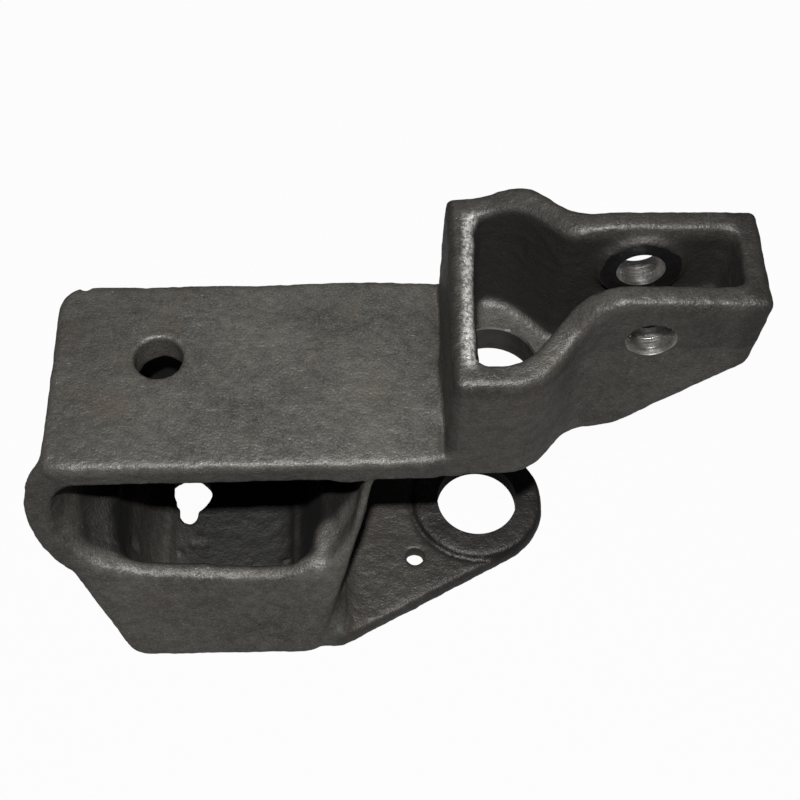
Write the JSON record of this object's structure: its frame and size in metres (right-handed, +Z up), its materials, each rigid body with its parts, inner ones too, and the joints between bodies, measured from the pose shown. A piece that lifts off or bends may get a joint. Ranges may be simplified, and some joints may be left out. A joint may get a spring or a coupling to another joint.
{
  "type": "investment cast bracket",
  "caption": "Cast bracket: flat plate on a hollow windowed column with a flanged foot, and an open pocket that narrows to a clevis with a cross bore.",
  "frame": {"origin": "on the common axis of the two large bores, level with the underside of the foot", "axes": "+Z up from the foot to the plate, +X towards the clevis, -Y out of the window"},
  "size_m": [0.2928, 0.1203, 0.1971],
  "materials": {
    "bracket": "as cast, dark and slightly rough"
  },
  "bodies": {
    "root": {"bracket": "bracket"}
  },
  "joints": []
}
